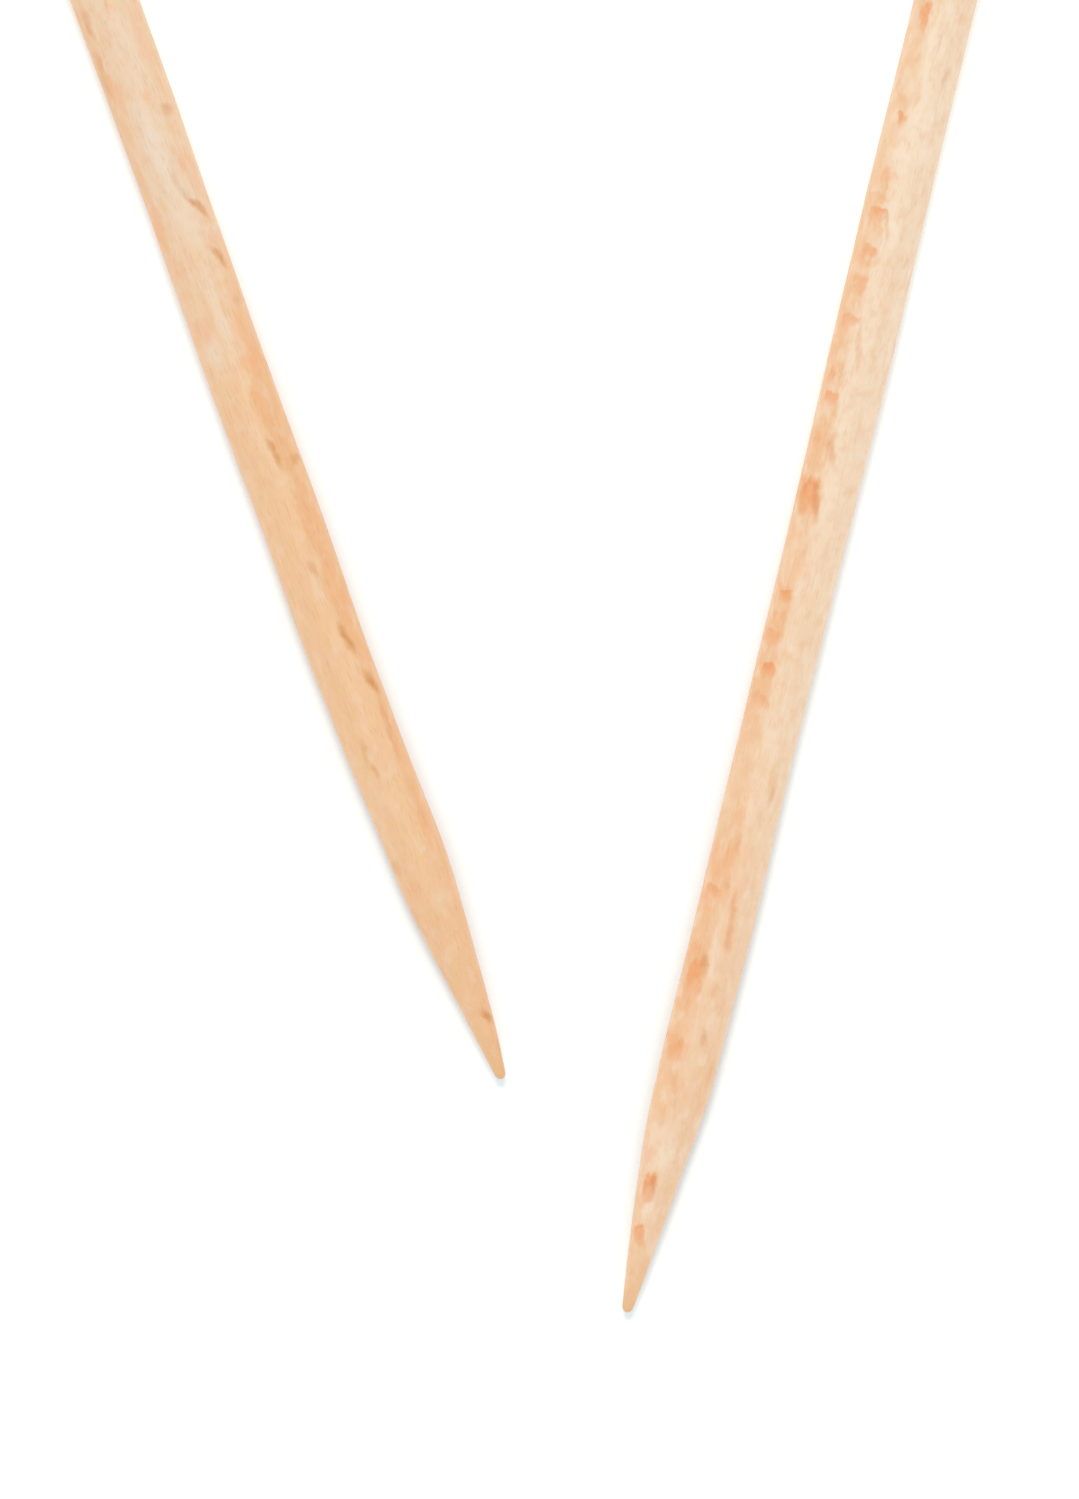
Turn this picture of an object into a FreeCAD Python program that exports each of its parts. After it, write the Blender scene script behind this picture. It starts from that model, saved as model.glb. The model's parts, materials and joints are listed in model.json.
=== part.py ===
import FreeCAD, Part

import math
import os

import Sketcher

# A pair of straight knitting needles in beech, lying side by side on a table.
#
# Each needle is two pieces of wood. The shaft is a dowel, ground to a blunt point at one
# end and turned down to a spigot at the other. Behind the point it is a little slimmer, and
# swells slowly to its full size. The knob, which stops the stitches from sliding off, is
# turned, drilled blind and glued on the spigot up to the shaft's shoulder.
#
# The table is Z = 0 and +Z is up. The needles lie in an open V with their points towards
# -Y, and the origin is the middle of the pair's footprint. Each needle touches the table
# at the start of its point and at the crown of its knob.

# Driving dimensions: the cell's alias, its value in mm or degrees, and what it measures.
SIZES = [
    ("needle_length", 250.0, "tip of the point to the top of the knob"),
    ("shaft_diameter", 5.0, "the size that the needles are sold by"),
    ("point_length", 18.8, "tip of the point to the neck, where the shaft starts"),
    ("neck_diameter", 4.4, "shaft at the neck, a little slimmer than its full size"),
    ("taper_length", 95.0, "tip of the point to the full diameter"),
    ("tip_radius", 0.55, "rounding of the blunt tip"),
    ("blend_radius", 50.0, "long arc that runs the point's cone into the shaft"),
    ("spigot_diameter", 3.6, "turned end that the knob is glued on"),
    ("spigot_length", 5.5, "shoulder to the end of the spigot"),
    ("spigot_chamfer", 0.4, "lead-in at the end of the spigot"),
    ("glue_gap", 0.05, "room for glue all round the spigot"),
    ("glue_pocket", 0.6, "room for glue past the end of the spigot"),
    ("drill_angle", 118.0, "cone that the drill leaves at the bore's end"),
    ("bore_chamfer", 0.15, "broken edge at the bore's mouth"),
    ("knob_diameter", 12.0, "widest circle of the knob"),
    ("knob_height", 9.5, "seat to the top of the dome"),
    ("collar_diameter", 6.4, "knob's collar, where the shaft enters it"),
    ("collar_height", 1.4, "seat to the start of the flare"),
    ("collar_chamfer", 0.25, "broken edge of the seat"),
    ("crown_height", 5.6, "seat to the knob's widest circle"),
    ("crown_radius", 2.0, "rounding at the knob's widest circle"),
    ("left_lean", 19.8, "left needle's knob leans towards -X from +Y"),
    ("right_lean", 13.5, "right needle's knob leans towards +X from +Y"),
    ("tip_spacing", 10.1, "right tip lies this far along +X from the left tip"),
    ("tip_stagger", 17.3, "right tip lies this far along -Y from the left tip"),
]

# Where points are on a sketch's geometry, as the Sketcher numbers them.
START, END, CENTRE = 1, 2, 3
# The sketch's own horizontal axis, whose START is the sketch's origin.
AXIS = -1


def point(along, out):
    """A point of an outline: along the needle's axis, and out from it."""
    return FreeCAD.Vector(along, out, 0)


def add_sizes(doc):
    """The spreadsheet that holds every driving dimension."""
    sheet = doc.addObject("Spreadsheet::Sheet", "Sizes")
    for row, (alias, value, meaning) in enumerate(SIZES, start=1):
        sheet.set(f"A{row}", alias)
        sheet.set(f"B{row}", str(value))
        sheet.set(f"C{row}", meaning)
        sheet.setAlias(f"B{row}", alias)
    doc.recompute()
    return sheet


def common_tangent(near, near_radius, far, far_radius):
    """Slope, in radians, of the line that touches two circles on their outer side.

    near and far are the circles' centres, far being further along the axis.
    """
    along = far.x - near.x
    out = far.y - near.y
    lean = math.acos((far_radius - near_radius) / math.hypot(along, out))
    return math.atan2(out, along) + math.pi / 2 - lean


def arc(centre, radius, start, end):
    """An arc about centre, anticlockwise from start to end, in radians."""
    circle = Part.Circle(centre, FreeCAD.Vector(0, 0, 1), radius)
    return Part.ArcOfCircle(circle, start, end)


def on_circle(centre, radius, angle):
    """The point of a circle at an angle in radians."""
    return centre + point(radius * math.cos(angle), radius * math.sin(angle))


def new_sketch(body, role, name):
    """A sketch on one of the body's own origin planes."""
    plane = next(f for f in body.Origin.OriginFeatures if f.Role == role)
    sketch = body.newObject("Sketcher::SketchObject", name)
    sketch.AttachmentSupport = [(plane, "")]
    sketch.MapMode = "FlatFace"
    return sketch


def join(sketch, kind, *places):
    """A constraint with no size, such as Coincident, Tangent or Horizontal."""
    sketch.addConstraint(Sketcher.Constraint(kind, *places))


def measure(sketch, kind, name, expression, *places):
    """A constraint whose size follows the spreadsheet."""
    value = sketch.evalExpression(expression)
    number = sketch.addConstraint(Sketcher.Constraint(kind, *places, float(value)))
    sketch.renameConstraint(number, name)
    sketch.setExpression(f"Constraints.{name}", expression)


def taper_slope(size):
    """Slope, in radians, of the shaft's side from the neck to the full diameter."""
    swell = (size.shaft_diameter - size.neck_diameter) / 2
    return math.atan2(swell, size.taper_length - size.point_length)


def blend_centre(size):
    """Centre of the arc that runs the point's cone into the shaft, touching it at the neck."""
    neck = point(size.point_length, size.neck_diameter / 2)
    return on_circle(neck, size.blend_radius, taper_slope(size) - math.pi / 2)


def draw_shaft(sketch, size):
    """Half the shaft's outline, from the tip at the origin to the end of the spigot."""
    shaft_radius = size.shaft_diameter / 2
    spigot_radius = size.spigot_diameter / 2
    shoulder = size.needle_length - size.knob_height
    end = shoulder + size.spigot_length
    nose_centre = point(size.tip_radius, 0)
    curve_centre = blend_centre(size)
    slope = common_tangent(nose_centre, size.tip_radius, curve_centre, size.blend_radius)
    leaves_nose = on_circle(nose_centre, size.tip_radius, math.pi / 2 + slope)
    meets_blend = on_circle(curve_centre, size.blend_radius, math.pi / 2 + slope)
    meets_taper = math.pi / 2 + taper_slope(size)
    neck = point(size.point_length, size.neck_diameter / 2)
    full_width = point(size.taper_length, shaft_radius)
    ledge_out = point(shoulder, shaft_radius)
    ledge_in = point(shoulder, spigot_radius)
    chamfer_start = point(end - size.spigot_chamfer, spigot_radius)
    chamfer_end = point(end, spigot_radius - size.spigot_chamfer)

    nose, cone, blend, taper, side, ledge, spigot, chamfer, tail, axis = sketch.addGeometry(
        [
            arc(nose_centre, size.tip_radius, math.pi / 2 + slope, math.pi),
            Part.LineSegment(leaves_nose, meets_blend),
            arc(curve_centre, size.blend_radius, meets_taper, math.pi / 2 + slope),
            Part.LineSegment(neck, full_width),
            Part.LineSegment(full_width, ledge_out),
            Part.LineSegment(ledge_out, ledge_in),
            Part.LineSegment(ledge_in, chamfer_start),
            Part.LineSegment(chamfer_start, chamfer_end),
            Part.LineSegment(chamfer_end, point(end, 0)),
            Part.LineSegment(point(end, 0), point(0, 0)),
        ],
        False,
    )
    join(sketch, "Coincident", nose, END, AXIS, START)
    join(sketch, "PointOnObject", nose, CENTRE, AXIS)
    join(sketch, "Tangent", nose, START, cone, START)
    join(sketch, "Tangent", cone, END, blend, END)
    join(sketch, "Tangent", blend, START, taper, START)
    for before, after in zip(
        [taper, side, ledge, spigot, chamfer, tail],
        [side, ledge, spigot, chamfer, tail, axis],
        strict=True,
    ):
        join(sketch, "Coincident", before, END, after, START)
    join(sketch, "Coincident", axis, END, AXIS, START)
    for level in (side, spigot, axis):
        join(sketch, "Horizontal", level)
    for upright in (ledge, tail):
        join(sketch, "Vertical", upright)

    origin = (AXIS, START)
    seat = "Sizes.needle_length - Sizes.knob_height"
    chamfer_size = "Sizes.spigot_chamfer"
    measure(sketch, "Radius", "tip_radius", "Sizes.tip_radius", nose)
    measure(sketch, "Radius", "blend_radius", "Sizes.blend_radius", blend)
    measure(sketch, "DistanceX", "point_length", "Sizes.point_length", *origin, taper, START)
    measure(sketch, "DistanceY", "neck_radius", "Sizes.neck_diameter / 2", *origin, taper, START)
    measure(sketch, "DistanceX", "taper_length", "Sizes.taper_length", *origin, side, START)
    measure(sketch, "DistanceY", "shaft_radius", "Sizes.shaft_diameter / 2", *origin, side, START)
    measure(sketch, "DistanceX", "shoulder", seat, *origin, side, END)
    measure(sketch, "DistanceY", "spigot_radius", "Sizes.spigot_diameter / 2", *origin, spigot, START)
    measure(sketch, "DistanceX", "spigot_length", "Sizes.spigot_length", ledge, END, tail, START)
    measure(sketch, "DistanceX", "chamfer_along", chamfer_size, chamfer, START, chamfer, END)
    measure(sketch, "DistanceY", "chamfer_in", chamfer_size, chamfer, END, chamfer, START)


def crown_centre(size):
    """Centre of the arc round the knob's widest circle, measured from the seat."""
    return point(size.crown_height, size.knob_diameter / 2 - size.crown_radius)


def draw_knob(sketch, size):
    """Half the knob's outline, from its seat at the origin to the top of the dome."""
    collar_radius = size.collar_diameter / 2
    chamfer_in = point(0, collar_radius - size.collar_chamfer)
    chamfer_out = point(size.collar_chamfer, collar_radius)
    flare_start = point(size.collar_height, collar_radius)
    crown = crown_centre(size)
    flare_slope = common_tangent(flare_start, 0, crown, size.crown_radius)
    flare_end = on_circle(crown, size.crown_radius, math.pi / 2 + flare_slope)
    # The dome's centre is on the axis, and its circle holds the crown's inside, touching it.
    above = size.knob_height - crown.x
    dome_radius = (crown.y**2 + above**2 - size.crown_radius**2) / (
        2 * (above - size.crown_radius)
    )
    dome_centre = point(size.knob_height - dome_radius, 0)
    outward = crown - dome_centre
    dome_start = math.atan2(outward.y, outward.x)

    seat, chamfer, collar, flare, rim, dome, axis = sketch.addGeometry(
        [
            Part.LineSegment(point(0, 0), chamfer_in),
            Part.LineSegment(chamfer_in, chamfer_out),
            Part.LineSegment(chamfer_out, flare_start),
            Part.LineSegment(flare_start, flare_end),
            arc(crown, size.crown_radius, dome_start, math.pi / 2 + flare_slope),
            arc(dome_centre, dome_radius, 0, dome_start),
            Part.LineSegment(point(size.knob_height, 0), point(0, 0)),
        ],
        False,
    )
    join(sketch, "Coincident", seat, START, AXIS, START)
    join(sketch, "Coincident", seat, END, chamfer, START)
    join(sketch, "Coincident", chamfer, END, collar, START)
    join(sketch, "Coincident", collar, END, flare, START)
    join(sketch, "Tangent", flare, END, rim, END)
    join(sketch, "Tangent", rim, START, dome, END)
    join(sketch, "Coincident", dome, START, axis, START)
    join(sketch, "Coincident", axis, END, AXIS, START)
    join(sketch, "PointOnObject", dome, CENTRE, AXIS)
    join(sketch, "Vertical", seat)
    join(sketch, "Horizontal", collar)
    join(sketch, "Horizontal", axis)

    origin = (AXIS, START)
    chamfer_size = "Sizes.collar_chamfer"
    crown_out = "Sizes.knob_diameter / 2 - Sizes.crown_radius"
    measure(sketch, "DistanceX", "chamfer_along", chamfer_size, chamfer, START, chamfer, END)
    measure(sketch, "DistanceY", "chamfer_out", chamfer_size, chamfer, START, chamfer, END)
    measure(sketch, "DistanceY", "collar_radius", "Sizes.collar_diameter / 2", *origin, collar, END)
    measure(sketch, "DistanceX", "collar_height", "Sizes.collar_height", *origin, collar, END)
    measure(sketch, "DistanceX", "knob_height", "Sizes.knob_height", *origin, dome, START)
    measure(sketch, "DistanceX", "crown_height", "Sizes.crown_height", *origin, rim, CENTRE)
    measure(sketch, "DistanceY", "crown_out", crown_out, *origin, rim, CENTRE)
    measure(sketch, "Radius", "crown_radius", "Sizes.crown_radius", rim)


def turn(body, sketch, name):
    """Revolves an outline about the needle's axis."""
    turned = body.newObject("PartDesign::Revolution", name)
    turned.Profile = sketch
    turned.ReferenceAxis = (sketch, ["H_Axis"])
    turned.Angle = 360
    return turned


def drill_bore(doc, size, body):
    """The knob's blind bore, which takes the spigot with room for glue."""
    diameter = "Sizes.spigot_diameter + 2 * Sizes.glue_gap"
    blank = body.Shape.Volume
    mouth = new_sketch(body, "YZ_Plane", body.Name + "BoreMouth")
    bore_radius = size.spigot_diameter / 2 + size.glue_gap
    rim = Part.Circle(point(0, 0), FreeCAD.Vector(0, 0, 1), bore_radius)
    circle = mouth.addGeometry(rim, False)
    join(mouth, "Coincident", circle, CENTRE, AXIS, START)
    measure(mouth, "Diameter", "bore", diameter, circle)
    doc.recompute()
    bore = body.newObject("PartDesign::Hole", body.Name + "Bore")
    bore.Profile = mouth
    bore.Reversed = True
    bore.DepthType = "Dimension"
    bore.DrillPoint = "Angled"
    bore.HoleCutType = "Countersink"
    bore.HoleCutCustomValues = True
    bore.HoleCutCountersinkAngle = 90
    bore.setExpression("Diameter", diameter)
    bore.setExpression("Depth", "Sizes.spigot_length + Sizes.glue_pocket")
    bore.setExpression("DrillPointAngle", "Sizes.drill_angle")
    bore.setExpression("HoleCutDiameter", diameter + " + 2 * Sizes.bore_chamfer")
    doc.recompute()
    straight = math.pi * bore_radius**2 * (size.spigot_length + size.glue_pocket)
    if blank - body.Shape.Volume < straight:
        raise RuntimeError(f"{bore.Name} doesn't cut its full depth")


def make_shaft(doc, size, label):
    """A dowel with a ground point and a slow taper, turned down to a spigot at its tail."""
    body = doc.addObject("PartDesign::Body", label.title().replace("_", ""))
    body.Label = label
    outline = new_sketch(body, "XY_Plane", body.Name + "Outline")
    draw_shaft(outline, size)
    turn(body, outline, body.Name + "Turned")
    doc.recompute()
    return body


def make_knob(doc, size, label):
    """A turned knob with a collar, a flare, a rounded crown and a dome, drilled blind."""
    body = doc.addObject("PartDesign::Body", label.title().replace("_", ""))
    body.Label = label
    outline = new_sketch(body, "XY_Plane", body.Name + "Outline")
    draw_knob(outline, size)
    turn(body, outline, body.Name + "Turned")
    doc.recompute()
    drill_bore(doc, size, body)
    return body


def lie_on_table(size, tip, lean):
    """The placement that lays a needle's axis, tip first along its own +X, on the table.

    The table is the line that touches the arc at the start of the point and the arc of
    the knob's crown. lean turns the knob from +Y towards -X, in degrees.
    """
    blend = blend_centre(size)
    crown = crown_centre(size) + point(size.needle_length - size.knob_height, 0)
    rise = common_tangent(blend, size.blend_radius, crown, size.crown_radius)
    height = blend.y * math.cos(rise) - blend.x * math.sin(rise) + size.blend_radius
    turned = FreeCAD.Rotation(90 + lean, -math.degrees(rise), 0)
    return FreeCAD.Placement(tip + FreeCAD.Vector(0, 0, height), turned)


def check(doc, bodies):
    """Stops the build if any object failed or any piece isn't one sound solid."""
    for item in doc.Objects:
        if "Invalid" in item.State or "Error" in item.State:
            raise RuntimeError(f"{item.Name} failed: {item.State}")
        if item.TypeId == "Sketcher::SketchObject" and not item.FullyConstrained:
            raise RuntimeError(f"{item.Name} isn't fully constrained")
    for body in bodies:
        if body.Shape.isNull() or not body.Shape.isValid() or len(body.Shape.Solids) != 1:
            raise RuntimeError(f"{body.Label} isn't one valid solid")


def main():
    doc = FreeCAD.newDocument("StraightNeedles")
    size = add_sizes(doc)
    seat = FreeCAD.Placement(
        FreeCAD.Vector(size.needle_length - size.knob_height, 0, 0), FreeCAD.Rotation()
    )
    right_tip = FreeCAD.Vector(size.tip_spacing, -size.tip_stagger, 0)
    lies = {
        "left": lie_on_table(size, FreeCAD.Vector(0, 0, 0), size.left_lean),
        "right": lie_on_table(size, right_tip, -size.right_lean),
    }
    bodies = []
    for side, place in lies.items():
        shaft = make_shaft(doc, size, side + "_shaft")
        knob = make_knob(doc, size, side + "_knob")
        shaft.Placement = place
        knob.Placement = place.multiply(seat)
        bodies += [shaft, knob]
    doc.recompute()

    footprint = Part.makeCompound([body.Shape for body in bodies]).BoundBox
    to_middle = FreeCAD.Vector(-footprint.Center.x, -footprint.Center.y, 0)
    for body in bodies:
        body.Placement.move(to_middle)
    doc.recompute()

    check(doc, bodies)
    os.makedirs("parts", exist_ok=True)
    for body in bodies:
        body.Shape.exportStep(f"parts/{body.Label}.step")


main()
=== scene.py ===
import json
import math

import bpy
from mathutils import Matrix, Vector, noise


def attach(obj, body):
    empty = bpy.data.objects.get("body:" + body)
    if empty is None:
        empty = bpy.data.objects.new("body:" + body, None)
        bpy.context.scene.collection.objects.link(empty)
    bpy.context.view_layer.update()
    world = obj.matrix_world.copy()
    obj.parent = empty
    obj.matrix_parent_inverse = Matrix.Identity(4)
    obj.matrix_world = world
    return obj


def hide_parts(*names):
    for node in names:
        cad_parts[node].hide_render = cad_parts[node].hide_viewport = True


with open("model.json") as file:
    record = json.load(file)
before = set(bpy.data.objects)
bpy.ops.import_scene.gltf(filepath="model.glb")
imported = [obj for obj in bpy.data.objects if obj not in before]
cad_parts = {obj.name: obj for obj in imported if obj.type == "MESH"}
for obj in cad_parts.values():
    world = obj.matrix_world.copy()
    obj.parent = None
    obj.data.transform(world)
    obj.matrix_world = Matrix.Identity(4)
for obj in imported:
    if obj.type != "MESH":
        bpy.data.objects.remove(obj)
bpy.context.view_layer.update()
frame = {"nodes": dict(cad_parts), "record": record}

# A pair of straight knitting needles in beech, seen from straight above, points towards
# the viewer. Each needle is a shaft and a knob, made here again as fine turned meshes
# round the axis that the frame gives, a little uneven as hand sanding leaves them. The
# wood is a solid: rings, rays and pores run through it, and the surface cuts them.

MM = 0.001

# The shaft's outline, as in the CAD model.
POINT_LENGTH = 18.8 * MM
NECK_RADIUS = 2.2 * MM
TAPER_LENGTH = 95.0 * MM
TIP_RADIUS = 0.55 * MM
BLEND_RADIUS = 50.0 * MM
SPIGOT_RADIUS = 1.8 * MM
SPIGOT_CHAMFER = 0.4 * MM

# The knob's outline, as in the CAD model.
BORE_RADIUS = 1.85 * MM
BORE_DEPTH = 6.1 * MM
DRILL_ANGLE = math.radians(118)
BORE_CHAMFER = 0.15 * MM
COLLAR_RADIUS = 3.2 * MM
COLLAR_HEIGHT = 1.4 * MM
COLLAR_CHAMFER = 0.25 * MM
CROWN_HEIGHT = 5.6 * MM
CROWN_RADIUS = 2.0 * MM

# How far each shaft's centre line lies to the right of its axis, and how much its radius
# is more than the outline's: stops of (mm from the tip, mm), eased between them. Both were
# set against the photo, which the CAD model's one outline follows less closely.
BENDS = {
    "left": [(3, 0.62), (16, 0.36), (29, 0.0), (35, -0.11), (44, -0.03), (55, -0.1), (78, 0.05),
             (95, 0.0)],
    "right": [(11, -0.22), (19, -0.02), (30, 0.07), (45, 0.03), (67, 0.09), (89, 0.0), (97, 0.03),
              (112, 0.0)],
}
GIRTHS = {
    "left": [(0, -0.09), (4, 0.0), (10, 0.045), (18, -0.03), (30, 0.02), (36, 0.05), (52, 0.03),
             (64, 0.0), (70, -0.04), (78, 0.0)],
    "right": [(0, -0.09), (5, 0.0), (8, 0.03), (13, 0.0), (16, -0.04), (22, -0.01), (30, 0.0),
              (45, -0.1), (60, -0.1), (75, -0.03), (82, -0.07), (97, -0.16), (120, -0.05)],
}
# How deep sanding has cut below the outline at most, how long its dips are, and how
# quickly they change round the shaft.
SANDED_DEPTH = 0.05 * MM
DIP_LENGTH = 7.0 * MM
DIPS_ROUND = 0.8
# How far apart the lathe's rings on a knob are, and how deep.
LATHE_PITCH = 0.34 * MM
LATHE_DEPTH = 0.018 * MM

# Mesh fineness.
TURNS = 96
RING_STEP = 0.6 * MM
FINE_STEP = 0.12 * MM
ARC_STEP = math.radians(4)
BLEND_STEP = math.radians(0.25)
EDGE_ROUNDING = 0.12 * MM
SHARP_ANGLE = math.radians(35)
# A point of an outline this near to the axis, in metres, is on it.
ON_AXIS = 1e-9
# The UV map's margins: at the strips' ends, and between the strips.
END_MARGIN = 0.01
STRIP_MARGIN = 0.02

# Where the camera looks: this far from the point midway between the two tips.
VIEW_OFFSET = Vector((-1.66 * MM, 33.5 * MM, 0))
VIEW_HEIGHT = 112.1 * MM
LENS = 200.0
SENSOR = 36.0


# ---------------------------------------------------------------- the needles' places


class Needle:
    """Where one needle lies: its tip, its own axes and its lengths, read from the frame.

    Its own x runs from the tip to the knob, y to the left as seen from above, z up.
    """

    def __init__(self, side):
        self.side = side
        mounts = {m["name"]: m for m in frame["record"]["mounts"]}
        mount = mounts[side + "_needle_shaft"]
        middle = Vector(mount["pos_m"])
        along = -Vector(mount["axis"]).normalized()
        shaft = [(v.co - middle).dot(along) for v in self.node("shaft").data.vertices]
        knob = [(v.co - middle).dot(along) for v in self.node("knob").data.vertices]
        across = Vector((0, 0, 1)).cross(along).normalized()
        up = along.cross(across)
        self.tip = middle + along * min(shaft)
        self.shoulder = min(knob) - min(shaft)
        self.spigot_end = max(shaft) - min(shaft)
        self.top = max(knob) - min(shaft)
        self.radius = mount["dims"]["r_mm"] * MM
        self.knob_radius = max(
            (v.co - middle).cross(along).length for v in self.node("knob").data.vertices
        )
        self.matrix = Matrix.Translation(self.tip) @ Matrix(
            [
                [along.x, across.x, up.x, 0],
                [along.y, across.y, up.y, 0],
                [along.z, across.z, up.z, 0],
                [0, 0, 0, 1],
            ]
        )

    def node(self, piece):
        return frame["nodes"][f"{self.side}_{piece}"]


# ---------------------------------------------------------------- outlines


def common_tangent(near, near_radius, far, far_radius):
    """Slope of the line that touches two circles on their outer side."""
    way = far - near
    lean = math.acos((far_radius - near_radius) / way.length)
    return math.atan2(way.y, way.x) + math.pi / 2 - lean


def on_circle(centre, radius, angle):
    return centre + radius * Vector((math.cos(angle), math.sin(angle)))


def arc(centre, radius, start, end, step=ARC_STEP):
    """Points round an arc, both ends included."""
    count = max(2, math.ceil(abs(end - start) / step))
    return [on_circle(centre, radius, start + (end - start) * i / count) for i in range(count + 1)]


def straight(start, end, step):
    """Points between two places, neither end included."""
    count = max(1, round((end - start).length / step))
    return [start.lerp(end, i / count) for i in range(1, count)]


def eased(before, corner, after, radius=EDGE_ROUNDING):
    """A corner of an outline, with its edge rounded off."""
    to_before = (before - corner).normalized() * radius
    to_after = (after - corner).normalized() * radius
    return [
        corner + to_before * (1 - share) ** 2 + to_after * share**2
        for share in (0, 0.25, 0.5, 0.75, 1)
    ]


def shaft_outline(needle):
    """(distance from the tip, radius) from the tip to the end of the spigot."""
    neck = Vector((POINT_LENGTH, NECK_RADIUS))
    full = Vector((TAPER_LENGTH, needle.radius))
    taper_slope = math.atan2(full.y - neck.y, full.x - neck.x)
    nose = Vector((TIP_RADIUS, 0))
    blend = on_circle(neck, BLEND_RADIUS, taper_slope - math.pi / 2)
    cone_slope = common_tangent(nose, TIP_RADIUS, blend, BLEND_RADIUS)
    up = math.pi / 2
    nose_arc = arc(nose, TIP_RADIUS, math.pi, up + cone_slope)
    blend_arc = arc(blend, BLEND_RADIUS, up + cone_slope, up + taper_slope, BLEND_STEP)
    shoulder = Vector((needle.shoulder, needle.radius))
    inside = Vector((needle.shoulder, SPIGOT_RADIUS))
    chamfer = Vector((needle.spigot_end - SPIGOT_CHAMFER, SPIGOT_RADIUS))
    end = Vector((needle.spigot_end, SPIGOT_RADIUS - SPIGOT_CHAMFER))
    return [
        *nose_arc,
        *straight(nose_arc[-1], blend_arc[0], RING_STEP / 2),
        *blend_arc,
        *straight(neck, full, RING_STEP),
        full,
        *straight(full, shoulder, RING_STEP),
        *eased(full, shoulder, inside),
        inside,
        *straight(inside, chamfer, RING_STEP),
        chamfer,
        end,
        Vector((needle.spigot_end, 0)),
    ]


def knob_outline(needle):
    """(distance from the tip, radius) round the knob's section, from the bore's end."""
    height = needle.top - needle.shoulder
    crown = Vector((CROWN_HEIGHT, needle.knob_radius - CROWN_RADIUS))
    apex = Vector((BORE_DEPTH + BORE_RADIUS / math.tan(DRILL_ANGLE / 2), 0))
    bore_end = Vector((BORE_DEPTH, BORE_RADIUS))
    bore_mouth = Vector((BORE_CHAMFER, BORE_RADIUS))
    mouth = Vector((0, BORE_RADIUS + BORE_CHAMFER))
    seat = Vector((0, COLLAR_RADIUS - COLLAR_CHAMFER))
    collar = Vector((COLLAR_CHAMFER, COLLAR_RADIUS))
    flare = Vector((COLLAR_HEIGHT, COLLAR_RADIUS))
    slope = common_tangent(flare, 0, crown, CROWN_RADIUS)
    above = height - crown.x
    dome_radius = (crown.y**2 + above**2 - CROWN_RADIUS**2) / (2 * (above - CROWN_RADIUS))
    dome = Vector((height - dome_radius, 0))
    dome_start = math.atan2(crown.y, crown.x - dome.x)
    rim = arc(crown, CROWN_RADIUS, math.pi / 2 + slope, dome_start)
    cap = arc(dome, dome_radius, dome_start, 0, ARC_STEP / 4)
    outline = [
        apex,
        bore_end,
        *straight(bore_end, bore_mouth, RING_STEP),
        bore_mouth,
        mouth,
        *straight(mouth, seat, FINE_STEP),
        *eased(mouth, seat, collar, COLLAR_CHAMFER / 3),
        *eased(seat, collar, flare, COLLAR_CHAMFER / 3),
        *straight(collar, flare, FINE_STEP),
        *eased(collar, flare, rim[0], EDGE_ROUNDING * 2),
        *straight(flare, rim[0], FINE_STEP)[2:],
        *rim,
        *cap[1:],
    ]
    return [p + Vector((needle.shoulder, 0)) for p in outline]


# ---------------------------------------------------------------- turned meshes


def follow(stops, along):
    """The value at a place along the needle, eased between given (mm, value) stops."""
    place = along / MM
    if place <= stops[0][0]:
        return stops[0][1]
    for (start, low), (end, high) in zip(stops, stops[1:]):
        if place < end:
            share = (place - start) / (end - start)
            return low + (high - low) * share * share * (3 - 2 * share)
    return stops[-1][1]


def hand_sanded(needle, seed):
    """How sanding by hand leaves a shaft: never quite round, straight or even."""
    shift = Vector((17.0 * seed, 5.0 * seed, 0))

    def worn(v):
        radius = math.hypot(v.y, v.z)
        bend = follow(BENDS[needle.side], v.x) * MM
        scale = 1.0
        if radius > 0 and v.x < needle.shoulder - EDGE_ROUNDING:
            round_y = v.y / radius * DIPS_ROUND
            round_z = v.z / radius * DIPS_ROUND
            spot = Vector((v.x / DIP_LENGTH, round_y, round_z)) + shift
            dip = SANDED_DEPTH * (noise.noise(spot) * 0.5 + 0.5)
            change = follow(GIRTHS[needle.side], v.x) * MM - dip
            scale += change / max(radius, TIP_RADIUS)
        return Vector((v.x, v.y * scale - bend, v.z * scale))

    return worn


def lathe_turned(needle, seed):
    """How a lathe leaves a knob: faint rings where the tool passed."""

    def worn(v):
        radius = math.hypot(v.y, v.z)
        if radius < COLLAR_RADIUS / 2:
            return v
        ring = noise.noise(Vector((v.x / LATHE_PITCH, radius / LATHE_PITCH, 11.0 * seed)))
        scale = 1 - LATHE_DEPTH * (ring * 0.5 + 0.8) / radius
        return Vector((v.x, v.y * scale, v.z * scale))

    return worn


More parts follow.
